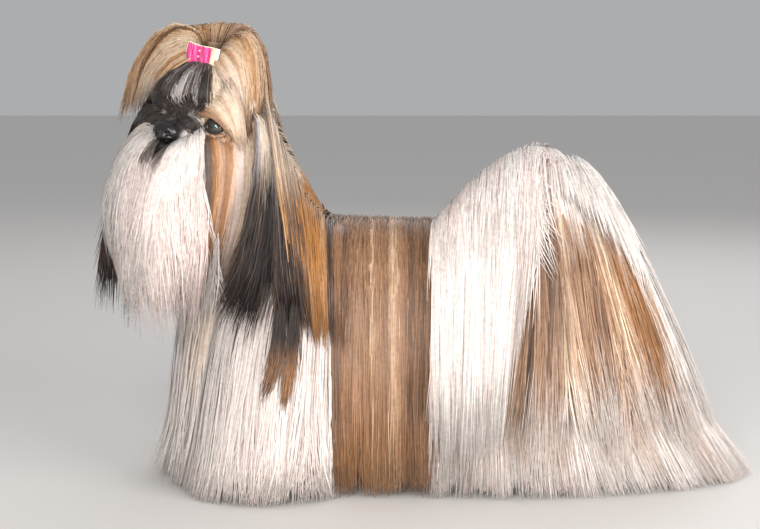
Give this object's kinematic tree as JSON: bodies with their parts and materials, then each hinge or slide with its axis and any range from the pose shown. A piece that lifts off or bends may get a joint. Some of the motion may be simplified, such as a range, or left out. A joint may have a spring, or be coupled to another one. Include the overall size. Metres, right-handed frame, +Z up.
{
  "type": "shih tzu",
  "caption": "Small long-coated dog standing square, head turned to its left, coat falling to the floor, hair tied up in a bow and a plumed tail over its back.",
  "frame": {"origin": "middle of the floor under the dog's bounding box, with the paws' soles at z = 0", "axes": "+X from nose to tail along the body, +Y to the dog's right, +Z up; the dog faces -X with its head turned towards -Y"},
  "size_m": [0.6484, 0.2984, 0.4478],
  "materials": {
    "white_hair": "long silky hair, white",
    "cream_hair": "long silky hair, cream",
    "gold_hair": "long silky hair, golden brown",
    "dark_hair": "long silky hair, near black",
    "nose_leather": "moist black nose leather",
    "eye": "wet dark eye",
    "band_elastic": "thin elastic band",
    "bow_satin": "pink satin ribbon with pale edging"
  },
  "bodies": {
    "root": {"head": "cream_hair", "muzzle": "white_hair", "nose": "nose_leather", "eye_left": "eye", "eye_right": "eye", "ear_left": "dark_hair", "ear_right": "dark_hair", "topknot": "gold_hair", "topknot_band": "band_elastic", "bow": "bow_satin", "neck": "gold_hair", "chest": "white_hair", "torso_left": "gold_hair", "torso_right": "gold_hair", "rump": "cream_hair", "foreleg_left": "white_hair", "foreleg_right": "white_hair", "hindleg_left": "gold_hair", "hindleg_right": "gold_hair", "tail_base": "white_hair", "tail_tip": "white_hair"}
  },
  "joints": []
}
